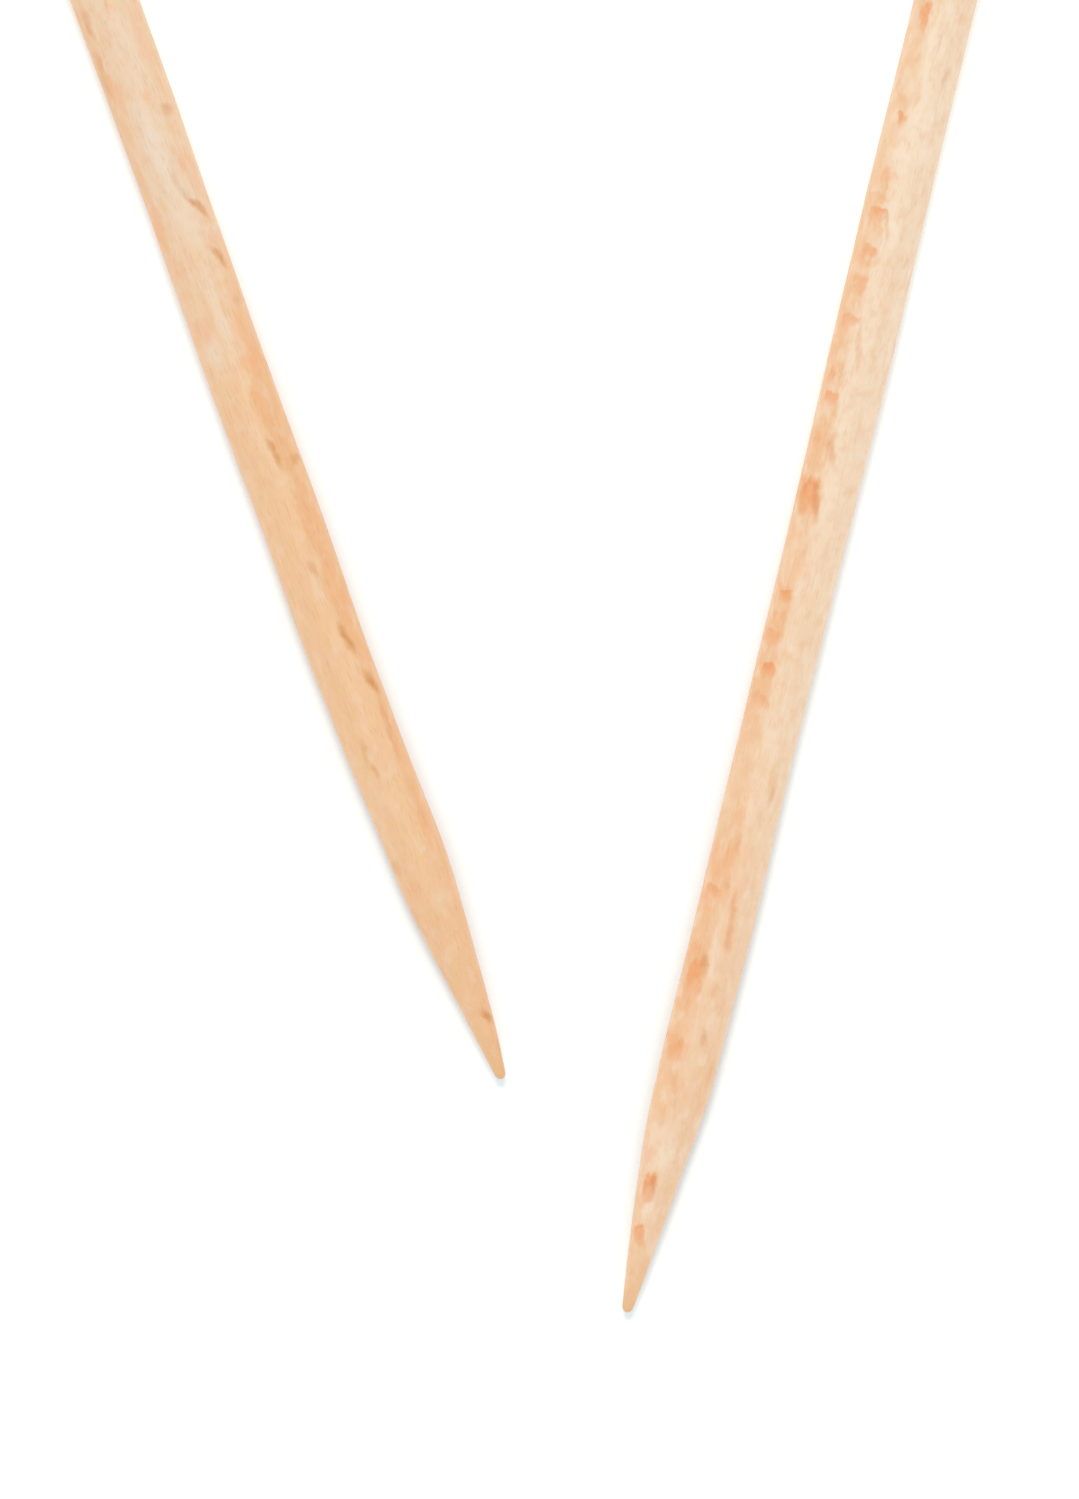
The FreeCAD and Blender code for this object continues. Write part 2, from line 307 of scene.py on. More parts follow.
def turned(name, needle, outline, worn, folds):
    """A mesh turned about the needle's own x axis, with each vertex moved to worn(vertex).

    The attribute place holds each vertex's place in the needle's own millimetres, and the
    attribute end_grain how much the surface there faces along the axis. The UV map is the
    unrolled surface, folded into as many strips as folds says.
    """
    rings = [i for i, p in enumerate(outline) if p.y > ON_AXIS]
    verts = []
    ends = []
    for i in rings:
        before, after = outline[max(i - 1, 0)], outline[min(i + 1, len(outline) - 1)]
        way = after - before
        for k in range(TURNS):
            angle = 2 * math.pi * k / TURNS
            p = outline[i]
            verts.append(worn(Vector((p.x, p.y * math.cos(angle), p.y * math.sin(angle)))))
            ends.append(abs(way.y) / way.length)
    faces = []
    for row in range(len(rings) - 1):
        for k in range(TURNS):
            a, b = row * TURNS + k, row * TURNS + (k + 1) % TURNS
            faces.append((a, a + TURNS, b + TURNS, b))
    if outline[0].y <= ON_AXIS:
        verts.append(worn(Vector((outline[0].x, 0, 0))))
        ends.append(1.0)
        faces += [(len(verts) - 1, k, (k + 1) % TURNS) for k in range(TURNS)]
    if outline[-1].y <= ON_AXIS:
        verts.append(worn(Vector((outline[-1].x, 0, 0))))
        ends.append(1.0)
        last_row = (len(rings) - 1) * TURNS
        faces += [(len(verts) - 1, last_row + (k + 1) % TURNS, last_row + k) for k in range(TURNS)]

    mesh = bpy.data.meshes.new(name)
    mesh.from_pydata(verts, [], faces)
    place = mesh.attributes.new("place", "FLOAT_VECTOR", "POINT")
    for item, v in zip(place.data, verts, strict=True):
        item.vector = v / MM
    end_grain = mesh.attributes.new("end_grain", "FLOAT", "POINT")
    for item, value in zip(end_grain.data, ends, strict=True):
        item.value = value
    unroll(mesh, outline, rings, folds)
    mesh.transform(needle.matrix)
    mesh.shade_smooth()
    mesh.set_sharp_from_angle(angle=SHARP_ANGLE)
    mesh.update()
    piece = bpy.data.objects.new(name, mesh)
    bpy.context.scene.collection.objects.link(piece)
    return piece


def unroll(mesh, outline, rings, folds):
    """A UV map of the surface unrolled along its outline and cut into folds strips."""
    run = [0.0]
    for a, b in zip(outline, outline[1:]):
        run.append(run[-1] + (b - a).length)
    heights = [run[i] for i in rings for _ in range(TURNS)]
    on_rings = len(heights)
    if outline[0].y <= ON_AXIS:
        heights.append(run[0])
    if outline[-1].y <= ON_AXIS:
        heights.append(run[-1])
    strip = run[-1] / folds
    margin = STRIP_MARGIN / folds
    layer = mesh.uv_layers.new(name="OFBake")
    for face in mesh.polygons:
        ids = list(face.vertices)
        middle = sum(heights[v] for v in ids) / len(ids)
        fold = min(folds - 1, int(middle / strip))
        turns = [(v % TURNS) / TURNS if v < on_rings else None for v in ids]
        known = [t for t in turns if t is not None]
        wraps = max(known) - min(known) > 0.5
        known = [t + 1 if wraps and t < 0.5 else t for t in known]
        for corner, v, t in zip(face.loop_indices, ids, turns, strict=True):
            if t is None:
                t = sum(known) / len(known)
            elif wraps and t < 0.5:
                t += 1
            u = (heights[v] - fold * strip) / strip
            layer.data[corner].uv = (
                END_MARGIN + (1 - 2 * END_MARGIN) * min(max(u, -END_MARGIN), 1 + END_MARGIN),
                (fold + 0.5) / folds + (t - 0.5) * (1 / folds - margin),
            )


# ---------------------------------------------------------------- material nodes

# What ramps and courses run over, from 0 to 1, and how far out a course can go, in mm.
NEEDLE_SPAN = 250.0
REACH = 3.0


def srgb(red, green, blue):
    """A colour as a screen shows it, from 0 to 255, in the renderer's own scale."""
    values = []
    for part in (red, green, blue):
        c = part / 255
        values.append(c / 12.92 if c <= 0.04045 else ((c + 0.055) / 1.055) ** 2.4)
    return (*values, 1.0)


class Graph:
    """A material's nodes, made and joined one call at a time."""

    def __init__(self, name):
        self.material = bpy.data.materials.new(name)
        self.material.use_nodes = True
        self.tree = self.material.node_tree
        self.tree.nodes.clear()

    def set(self, socket, value):
        if isinstance(value, bpy.types.NodeSocket):
            self.tree.links.new(value, socket)
        else:
            socket.default_value = value

    def node(self, kind, inputs=(), **settings):
        made = self.tree.nodes.new(kind)
        for name, value in settings.items():
            setattr(made, name, value)
        for key, value in dict(inputs).items():
            self.set(made.inputs[key], value)
        return made

    def math(self, operation, a, b=0.0, c=0.0):
        made = self.node("ShaderNodeMath", {0: a, 1: b, 2: c}, operation=operation)
        return made.outputs[0]

    def vector(self, operation, a, b=(0, 0, 0)):
        made = self.node("ShaderNodeVectorMath", {0: a, 1: b}, operation=operation)
        return made.outputs["Value" if operation == "LENGTH" else "Vector"]

    def part(self, vector, axis):
        return self.node("ShaderNodeSeparateXYZ", {0: vector}).outputs[axis]

    def join(self, x, y, z):
        return self.node("ShaderNodeCombineXYZ", {0: x, 1: y, 2: z}).outputs[0]

    def attribute(self, name, output="Vector"):
        return self.node("ShaderNodeAttribute", attribute_name=name).outputs[output]

    def noise(self, vector, detail=2.0, roughness=0.5, output="Fac"):
        made = self.node(
            "ShaderNodeTexNoise",
            {"Vector": vector, "Scale": 1.0, "Detail": detail, "Roughness": roughness},
        )
        return made.outputs[output]

    def sway(self, vector, reach):
        """A push that changes smoothly from place to place, at most about reach each way."""
        push = self.vector("SUBTRACT", self.noise(vector, output="Color"), (0.5, 0.5, 0.5))
        return self.vector("MULTIPLY", push, tuple(4 * r for r in reach))

    def between(self, value, low, high, to_low=0.0, to_high=1.0):
        """value from low to high, made into to_low to to_high with soft ends."""
        made = self.node(
            "ShaderNodeMapRange",
            {0: value, 1: low, 2: high, 3: to_low, 4: to_high},
            interpolation_type="SMOOTHSTEP",
        )
        return made.outputs[0]

    def mix(self, share, a, b, blend="MIX"):
        made = self.node("ShaderNodeMix", data_type="RGBA", blend_type=blend)
        for name, value in ((0, share), (6, a), (7, b)):
            self.set(made.inputs[name], value)
        return made.outputs[2]

    def ramp(self, along, stops):
        """The colour that follows (mm from the tip, colour) stops."""
        made = self.node("ShaderNodeValToRGB", {0: self.math("DIVIDE", along, NEEDLE_SPAN)})
        elements = made.color_ramp.elements
        while len(elements) < len(stops):
            elements.new(1.0)
        for element, (place, colour) in zip(elements, stops, strict=True):
            element.position = place / NEEDLE_SPAN
            element.color = colour
        return made.outputs[0]

    def course(self, along, stops):
        """The value that follows (mm from the tip, value) stops, none further out than REACH."""
        made = self.node("ShaderNodeFloatCurve", {"Value": self.math("DIVIDE", along, NEEDLE_SPAN)})
        points = made.mapping.curves[0].points
        while len(points) < len(stops):
            points.new(1.0, 0.5)
        for point, (place, value) in zip(points, stops, strict=True):
            point.location = (place / NEEDLE_SPAN, 0.5 + value / REACH / 2)
            point.handle_type = "AUTO_CLAMPED"
        made.mapping.extend = "HORIZONTAL"
        made.mapping.update()
        return self.math("MULTIPLY_ADD", made.outputs[0], 2 * REACH, -REACH)


def marks(graph, spot, places, soft, fade):
    """A mask of marks: soft ovals, or with fade, blunt ones that fade towards the tip.

    Each place is (mm from the tip, mm to the right, length, width, lean, depth), where
    lean is in degrees, to the right going towards the knob. The length and the width are
    taken where the mark's soft edge has half its depth.
    """
    mask = None
    for along, right, length, width, lean, depth in places:
        own = graph.node(
            "ShaderNodeMapping",
            {
                "Vector": spot,
                "Location": (along, right, 0),
                "Rotation": (0, 0, math.radians(lean)),
                "Scale": (length / 2, width / 2, 1000),
            },
            vector_type="TEXTURE",
        ).outputs[0]
        reach = graph.vector("MULTIPLY", own, own) if fade else own
        shape = graph.between(graph.vector("LENGTH", reach), 1 + soft, 1 - soft, 0.0, depth)
        if fade:
            strength = graph.between(graph.part(own, 0), -1.0, 0.7, 1 - fade, 1.0)
            shape = graph.math("MULTIPLY", shape, strength)
        mask = shape if mask is None else graph.math("MAXIMUM", mask, shape)
    return mask


# ---------------------------------------------------------------- beech


# Where hands and glue leave their marks, in mm: from the tip, from the axis, and to each
# side of the joint.
HANDLED_TO = 4.0
HANDLED_MOST = 0.3
RUBBED_FROM = 5.3
RUBBED_FULLY = 5.95
GLUE_REACH = 0.22
GLUE_FULL = 0.04
GLUE_RADIUS = 2.95
GLUE_FULL_RADIUS = 2.6
# The depth of fibres and pores in the bump, in metres.
RELIEF = 0.00004
# How much smoother the handled and the rubbed places are.
POLISH = 0.16


def beech(name, look):
    """Waxed beech: tones, growth rings, rays, marks, fibres, pores and wear."""
    g = Graph(name)
    place = g.attribute("place")
    along = g.part(place, 0)
    right = g.math("MULTIPLY", g.part(place, 1), -1.0)
    up = g.part(place, 2)
    radius = g.vector("LENGTH", g.vector("MULTIPLY", place, (0, 1, 1)))
    end_grain = g.attribute("end_grain", "Fac")

    # The tree's own directions: x with the grain, y out from the pith, z round the rings.
    grain = g.node(
        "ShaderNodeVectorRotate",
        {"Vector": place, "Angle": look["turn"]},
        rotation_type="X_AXIS",
    ).outputs[0]
    grain = g.vector("ADD", grain, look["cut_from"])

    def stretched(x, y, z):
        return g.vector("MULTIPLY", grain, (x, y, z))

    # Tones along the piece, then bands, each to one side of an edge that runs along it.
    colour = g.ramp(along, look["tones"])
    cloud = g.noise(stretched(0.05, 0.45, 0.45), 3.0, 0.55)
    colour = g.mix(g.between(cloud, 0.42, 0.7, 0.0, look["cloud"]), colour, look["warm"])
    spot = g.join(along, right, 0.0)
    drawn = g.vector("ADD", spot, g.sway(stretched(0.45, 0.8, 0.8), (0.6, 0.3, 0.0)))
    drawn = g.vector("ADD", drawn, g.sway(stretched(1.6, 2.2, 2.2), (0.2, 0.16, 0.0)))
    patchy = g.between(g.noise(stretched(0.6, 0.9, 0.9), 3.0, 0.55), 0.32, 0.6, 0.45, 1.0)
    for side, edge, strength, soft, paint in look["bands"]:
        past = g.math("SUBTRACT", g.part(drawn, 1), g.course(along, edge))
        past = g.math("MULTIPLY", past, side)
        share = g.math("MULTIPLY", g.between(past, -soft, soft), g.course(along, strength))
        share = g.math("MULTIPLY", share, patchy)
        colour = g.mix(share, colour, paint)

    # Growth rings: each is a little lighter or darker, and ends in a thin late-wood line.
    drift = g.noise(stretched(0.03, 0.1, 0.1), 2.0)
    depth = g.math("MULTIPLY_ADD", drift, 2.4, g.part(grain, 1))
    ring = g.math("DIVIDE", depth, look["ring_width"])
    ring_tone = g.node(
        "ShaderNodeTexWhiteNoise", {"W": g.math("FLOOR", ring)}, noise_dimensions="1D"
    ).outputs["Value"]
    in_ring = g.math("FRACT", ring)
    late = g.math("MULTIPLY", g.between(in_ring, 0.6, 0.96), g.between(in_ring, 1.0, 0.96))
    colour = g.mix(g.math("MULTIPLY", ring_tone, look["ring_depth"]), colour, look["ring"])
    colour = g.mix(g.math("MULTIPLY", late, look["late_depth"]), colour, look["late"])

    # Soft mottling, towards rose and towards straw.
    rose = g.noise(stretched(0.8, 1.1, 1.1), 3.0, 0.6)
    straw = g.noise(stretched(0.9, 1.5, 1.5), 2.0, 0.5)
    fade = g.noise(stretched(0.6, 1.0, 1.0), 2.0, 0.5)
    colour = g.mix(g.between(rose, 0.47, 0.7, 0.0, look["rose_depth"]), colour, look["rose"])
    colour = g.mix(g.between(straw, 0.48, 0.7, 0.0, look["straw_depth"]), colour, look["straw"])
    colour = g.mix(g.between(fade, 0.48, 0.7, 0.0, look["pale_depth"]), colour, look["pale"])

    # Rays: thin sheets across the rings. They show as flecks where the surface runs along
    # them, and as short dark dashes where it cuts them. None where the marks below are.
    sheet = g.vector("ADD", grain, g.sway(stretched(0.4, 1.3, 1.3), (0.5, 0.25, 0.1)))
    cells = g.node(
        "ShaderNodeTexVoronoi",
        {"Vector": g.vector("MULTIPLY", sheet, look["ray_cells"]), "Scale": 1.0},
        feature="F1",
    )
    size = g.between(g.part(cells.outputs["Color"], 0), 0.2, 1.0, 0.04, 0.4)
    ray = g.between(g.math("SUBTRACT", cells.outputs["Distance"], size), 0.08, -0.08)
    marked = g.math(
        "MULTIPLY",
        g.between(up, 0.2, 1.0),
        g.between(along, look["marked_to"] + 3, look["marked_to"] - 3),
    )
    ray = g.math("MULTIPLY", ray, g.math("SUBTRACT", 1.0, marked))
    ray = g.math("MULTIPLY", ray, g.between(end_grain, 0.3, 1.0, 1.0, 0.6))
    colour = g.mix(g.math("MULTIPLY", ray, look["ray_depth"]), colour, look["fleck"])

    # The marks that this needle has on its upper side, each where it is.
    above = g.between(up, -0.4, 0.05)
    uneven = g.noise(g.vector("MULTIPLY", place, (1.3, 1.7, 1.7)), 2.0, 0.6)
    above = g.math("MULTIPLY", above, g.between(uneven, 0.3, 0.6, 0.65, 1.0))
    for places, soft, fade_share, wander, paint in look["marks"]:
        push = g.sway(g.vector("MULTIPLY", place, (0.9, 1.2, 1.2)), (wander, wander * 0.7, 0))
        mask = marks(g, g.vector("ADD", spot, push), places, soft, fade_share)
        colour = g.mix(g.math("MULTIPLY", mask, above), colour, paint)
        # The mask rides on in the third part, which marks() all but leaves out. So the
        # renderer works one set after the other, and all of them fit into one material.
        spot = g.vector("ADD", spot, g.join(0.0, 0.0, mask))

    # Fibres and pores. On end grain the pores are dots, and the wax darkens the wood.
    fibre = g.noise(stretched(0.45, 8.0, 8.0), 3.0, 0.7)
    pores = g.noise(stretched(0.8, 15.0, 15.0), 1.0, 0.5)
    pore = g.between(pores, 0.6, 0.74)
    tone = g.between(fibre, 0.25, 0.75, 0.975, 1.02)
    colour = g.mix(1.0, colour, g.join(tone, tone, tone), "MULTIPLY")
    pore_depth = g.between(end_grain, 0.3, 1.0, look["pore_depth"], look["pore_depth"] * 1.8)
    colour = g.mix(g.math("MULTIPLY", pore, pore_depth), colour, look["pore"])
    colour = g.mix(g.between(end_grain, 0.4, 1.0, 0.0, 0.35), colour, look["waxed_end"])

    # Wear: hands darken the point, and rub the knob's widest circle pale and smooth.
    held = g.between(along, HANDLED_TO, HANDLED_MOST, 0.0, 0.55)
    colour = g.mix(held, colour, look["handled"])
    rubbed = g.between(radius, RUBBED_FROM, RUBBED_FULLY, 0.0, 0.5)
    rubbed = g.math("MULTIPLY", rubbed, g.between(cloud, 0.35, 0.6, 0.4, 1.0))
    colour = g.mix(rubbed, colour, look["pale"])
    # Glue and wax gather where the shaft enters the knob.
    joint = g.math("ABSOLUTE", g.math("SUBTRACT", along, look["joint_at"]))
    joint = g.math(
        "MULTIPLY",
        g.between(joint, GLUE_REACH, GLUE_FULL),
        g.between(radius, GLUE_RADIUS, GLUE_FULL_RADIUS),
    )
    colour = g.mix(g.math("MULTIPLY", joint, 0.7), colour, look["glue"])

    rough = g.between(fibre, 0.2, 0.8, 0.44, 0.56)
    polished = g.math("MULTIPLY", g.math("MAXIMUM", held, rubbed), POLISH)
    rough = g.math("SUBTRACT", rough, polished)
    height = g.math("MULTIPLY_ADD", pore, -0.6, fibre)
    height = g.math("MULTIPLY_ADD", rose, 0.5, height)
    bump = g.node("ShaderNodeBump", {"Height": height, "Strength": 0.25, "Distance": RELIEF})
    shader = g.node(
        "ShaderNodeBsdfPrincipled",
        {"Base Color": colour, "Roughness": rough, "Normal": bump.outputs[0], "IOR": 1.45},
    )
    output = g.node("ShaderNodeOutputMaterial")
    g.set(output.inputs["Surface"], shader.outputs[0])
    return g.material


# ---------------------------------------------------------------- the left needle's wood

LEFT_TONES = [
    (0, srgb(236, 190, 146)),
    (8, srgb(239, 194, 150)),
    (20, srgb(240, 198, 155)),
    (34, srgb(242, 199, 156)),
    (45, srgb(242, 201, 158)),
    (55, srgb(242, 203, 163)),
    (62, srgb(240, 208, 175)),
    (70, srgb(238, 212, 184)),
    (86, srgb(239, 211, 181)),
    (105, srgb(240, 204, 166)),
    (180, srgb(239, 199, 157)),
    (240, srgb(241, 201, 159)),
]
LEFT_BANDS = [
    (
        1,
        [(0, 1.6), (12, 1.7), (22, 1.55), (31, 1.4), (36, 0.85), (42, 0.65), (46, 0.85), (52, 0.4),
         (55, 0.6), (58, 1.2), (66, 1.5), (80, 2.2)],
        [(0, 0.0), (10, 0.2), (20, 0.7), (30, 0.95), (56, 1.0), (60, 0.5), (68, 0.3), (75, 0.0)],
        0.3,
        srgb(236, 184, 134),
    ),
    (
        -1,
        [(0, -0.4), (6, -0.7), (18, -1.7), (30, -1.9), (50, -1.85), (66, -1.7), (78, -1.6)],
        [(0, 0.2), (10, 0.5), (30, 0.6), (62, 0.3), (68, 0.8), (86, 0.8), (110, 0.3)],
        0.25,
        srgb(237, 186, 140),
    ),
]
# Marks on the upper side: (mm from the tip, mm to the right, length, width, lean, depth).
LEFT_DARK = [
    (4.9, 1.1, 1.1, 0.5, -25, 0.9),
    (31.2, 1.5, 1.9, 0.5, -14, 1.0),
    (34.9, 0.9, 2.3, 0.5, -9, 0.95),
    (40.6, 0.3, 1.4, 0.5, -9, 0.5),
    (26.6, -0.7, 1.4, 0.35, 0, 0.4),
    (25.0, -0.5, 1.4, 0.35, -10, 0.5),
    (49.8, 0.5, 2.2, 0.5, -8, 0.8),
    (48.8, 1.85, 0.7, 0.55, 0, 0.6),
    (64.9, 1.6, 1.5, 0.5, -20, 0.8),
    (61.4, 1.75, 0.8, 0.5, 0, 0.4),
    (68.8, 1.4, 1.6, 0.55, -28, 1.0),
    (76.5, 1.65, 0.9, 0.7, 15, 0.65),
    (17.6, -1.4, 1.2, 0.5, 0, 0.4),
    (84.4, -1.75, 1.8, 0.5, 0, 0.55),
    (80.6, -1.95, 3.0, 0.4, 0, 0.55),
    (9.0, -0.95, 4.6, 0.4, -12, 0.3),
    (13.0, -1.25, 2.0, 0.4, -8, 0.3),
    (22.0, 1.6, 5.0, 0.4, 0, 0.25),
    (27.8, 1.55, 4.6, 0.5, 0, 0.4),
]
LEFT_WARM = [
    (56.7, 1.3, 1.5, 1.2, 0, 0.85),
    (53.6, 0.55, 2.2, 0.9, 0, 0.4),
    (15.5, -0.75, 1.2, 0.8, 0, 0.55),
    (12.7, 0.2, 0.8, 1.0, 0, 0.25),
    (38.6, 1.4, 5.0, 0.9, 0, 0.45),
    (44.0, 1.3, 4.0, 1.0, 0, 0.45),
    (35.5, 1.55, 2.6, 0.5, 0, 0.5),
    (20.0, 1.75, 3.0, 0.6, 0, 0.5),
    (26.5, 1.6, 4.0, 0.5, 0, 0.5),
    (68.0, -2.0, 2.2, 0.8, 0, 0.6),
    (60.2, -1.5, 1.4, 1.0, 0, 0.45),
    (64.6, -1.4, 2.0, 0.6, 0, 0.5),
    (59.5, 1.3, 2.0, 1.1, 0, 0.45),
    (72.3, 1.4, 1.8, 1.1, 0, 0.3),
    (78.0, 0.65, 0.9, 0.5, 0, 0.45),
    (79.0, -1.4, 2.4, 0.8, 0, 0.4),
    (85.0, 0.4, 1.2, 0.9, 0, 0.4),
    (81.0, 1.5, 1.6, 0.7, 0, 0.25),
]
LEFT_PALE = [
    (18.0, 0.9, 0.6, 0.5, 0, 0.45),
    (14.4, 0.9, 0.7, 0.6, 0, 0.45),
    (26.3, 0.0, 0.7, 0.6, 0, 0.35),
    (39.0, 0.1, 1.3, 1.0, 0, 0.35),
    (58.2, -1.0, 1.7, 1.7, 0, 0.65),
    (61.3, 0.1, 6.0, 0.8, 0, 0.6),
    (74.0, -0.1, 7.0, 1.4, 0, 0.9),
    (69.0, 0.2, 5.0, 1.6, 0, 0.5),
    (67.4, 1.9, 0.9, 0.6, 0, 0.6),
    (82.0, 0.7, 7.5, 1.7, 0, 0.45),
    (47.4, 0.3, 0.6, 1.0, 0, 0.35),
    (86.5, 1.6, 4.5, 0.8, 0, 0.45),
]
# A thin greyish line that curls round to the dark fleck at 69 mm.
LEFT_GREY = [
    (70.2, 0.72, 1.5, 0.45, -20, 0.75),
    (71.4, 0.5, 1.5, 0.4, 0, 0.75),
    (72.6, 0.6, 1.2, 0.35, 18, 0.4),
]

# ---------------------------------------------------------------- the right needle's wood

RIGHT_TONES = [
    (0, srgb(238, 192, 150)),
    (5, srgb(240, 204, 168)),
    (12, srgb(241, 208, 177)),
    (18, srgb(241, 206, 173)),
    (30, srgb(242, 208, 175)),
    (42, srgb(243, 214, 183)),
    (55, srgb(244, 216, 186)),
    (70, srgb(245, 221, 194)),
    (90, srgb(246, 224, 197)),
    (115, srgb(244, 216, 187)),
    (170, srgb(243, 210, 177)),
    (240, srgb(243, 212, 181)),
]
RIGHT_BANDS = [
    (
        -1,
        [(0, -0.5), (11, -0.9), (15, -0.8), (20, -0.55), (28, -0.5), (35, -0.15), (39, -0.5),
         (46, -0.7), (56, -0.65), (63, -0.5), (72, -0.9), (84, -0.75), (90, -1.15), (100, -1.0)],
        [(0, 0.3), (8, 0.5), (12, 0.25), (16, 0.7), (36, 0.85), (42, 0.6), (48, 0.95), (58, 0.65),
         (64, 0.9), (86, 0.85), (92, 0.5), (100, 0.8)],
        0.25,
        srgb(241, 191, 144),
    ),
    (
        1,
        [(0, 0.3), (8, 0.5), (16, 0.9), (30, 1.2), (60, 1.6), (100, 1.7)],
        [(0, 0.6), (18, 0.5), (30, 0.15), (60, 0.05), (100, 0.1)],
        0.8,
        srgb(239, 200, 162),
    ),
]
RIGHT_FLECKS = [
    (5.9, -0.65, 1.4, 0.8, -12, 0.85),
    (9.5, -0.8, 2.0, 0.85, -8, 1.0),
    (20.0, -1.3, 1.7, 1.1, 0, 0.6),
    (20.8, -1.75, 0.8, 0.6, 0, 0.4),
    (25.4, -1.2, 3.4, 1.2, 0, 0.85),
    (23.6, -1.5, 1.0, 0.9, 0, 0.3),
    (27.4, -1.6, 1.6, 0.9, 0, 0.35),
    (32.3, -1.35, 0.9, 1.1, 0, 0.6),
    (31.3, -1.5, 1.2, 0.7, 0, 0.4),
    (34.6, -1.0, 2.4, 1.9, 0, 0.3),
    (46.8, -1.25, 1.2, 1.3, 0, 0.5),
    (49.2, -1.25, 1.3, 1.0, 0, 1.0),
    (51.6, -1.35, 1.3, 1.2, 0, 0.5),
    (54.9, -1.2, 1.1, 0.95, 0, 0.9),
    (55.2, -1.5, 1.0, 1.0, 0, 0.35),
    (53.0, -1.4, 1.2, 0.9, 0, 0.35),
    (62.4, -1.25, 2.8, 1.5, -8, 1.0),
    (66.6, -1.7, 1.0, 0.9, 0, 0.35),
    (67.0, -0.7, 1.0, 1.0, 0, 0.3),
    (70.0, -1.35, 0.9, 1.0, 0, 0.65),
    (71.6, -1.65, 1.2, 0.6, 0, 0.5),
    (76.0, -1.25, 0.7, 1.3, 0, 0.6),
    (75.4, -1.6, 1.0, 0.5, 0, 0.4),
    (78.7, -1.25, 1.6, 1.0, 0, 0.55),
    (81.3, -1.2, 0.8, 1.1, 0, 0.7),
    (80.6, -1.6, 1.0, 0.5, 0, 0.4),
    (84.1, -1.15, 0.9, 1.2, 0, 0.75),
    (83.7, -1.5, 1.2, 0.6, 0, 0.5),
    (85.3, -1.4, 0.8, 1.0, 0, 0.35),
    (86.9, -1.0, 1.1, 1.2, 0, 0.25),
    (91.5, -1.15, 0.7, 0.55, 0, 0.75),
    (92.6, -1.5, 1.2, 0.6, 0, 0.3),
    (99.1, -1.25, 2.0, 0.65, 5, 0.85),
]
RIGHT_DARK = [
    (9.8, -0.55, 1.4, 0.5, -8, 0.65),
    (26.9, -0.7, 1.4, 0.5, -15, 0.75),
    (62.1, -0.62, 2.6, 0.45, -9, 0.55),
    (66.1, -0.45, 1.7, 0.45, -12, 0.5),
    (31.3, 0.4, 2.4, 0.4, -4, 0.4),
    (29.2, 0.6, 2.2, 0.4, -4, 0.45),
    (25.1, 0.55, 1.2, 0.4, 0, 0.3),
    (21.4, 0.55, 0.9, 0.5, 0, 0.5),
    (36.2, -0.35, 1.4, 0.4, -10, 0.35),
    (40.1, 1.2, 1.6, 0.4, 0, 0.35),
    (74.4, -0.32, 2.6, 0.35, -9, 0.3),
    (83.4, -0.35, 2.0, 0.35, -16, 0.35),
    (93.9, -1.95, 1.6, 0.35, 0, 0.3),
    (95.0, 1.35, 2.4, 0.35, 5, 0.3),
    (33.0, -0.45, 0.8, 0.5, 0, 0.4),
    (17.0, -0.6, 3.0, 0.4, -12, 0.25),
    (19.0, 1.7, 2.0, 0.4, 0, 0.3),
]
RIGHT_WARM = [
    (15.4, -1.2, 0.6, 0.7, 0, 0.5),
    (16.8, -0.2, 1.8, 1.2, 0, 0.45),
    (16.6, 1.3, 1.6, 0.9, 0, 0.45),
    (18.8, 1.5, 2.4, 0.6, 0, 0.4),
    (38.4, -0.7, 1.4, 0.9, 0, 0.45),
    (42.2, -0.2, 0.5, 1.4, 0, 0.3),
    (71.1, -0.6, 0.9, 0.6, 0, 0.4),
    (94.0, -0.4, 1.2, 0.6, 0, 0.4),
    (31.0, 0.45, 6.0, 0.7, -4, 0.55),
    (3.2, 0.2, 2.0, 0.9, 0, 0.4),
    (0.8, 0.0, 1.6, 0.8, 0, 0.5),
    (57.0, -0.6, 1.6, 1.2, 0, 0.3),
    (35.0, 0.4, 3.0, 1.4, 0, 0.25),
]
RIGHT_PALE = [
    (7.9, -0.5, 1.6, 0.9, 0, 0.6),
    (12.5, -0.2, 3.4, 1.4, 0, 0.3),
    (63.3, 0.3, 4.0, 0.9, 0, 0.5),
    (45.0, 0.3, 4.0, 1.4, 0, 0.35),
    (82.6, 0.4, 1.6, 0.7, 0, 0.6),
    (88.5, -0.5, 2.2, 1.1, 0, 0.5),
    (92.0, 0.3, 3.0, 0.6, 0, 0.35),
    (97.3, 0.5, 2.2, 0.5, 0, 0.7),
    (99.8, 0.5, 1.8, 0.6, 0, 0.7),
    (90.0, 0.9, 7.0, 0.7, 0, 0.35),
    (98.5, -0.2, 3.0, 0.5, 0, 0.3),
]

# ---------------------------------------------------------------- looks

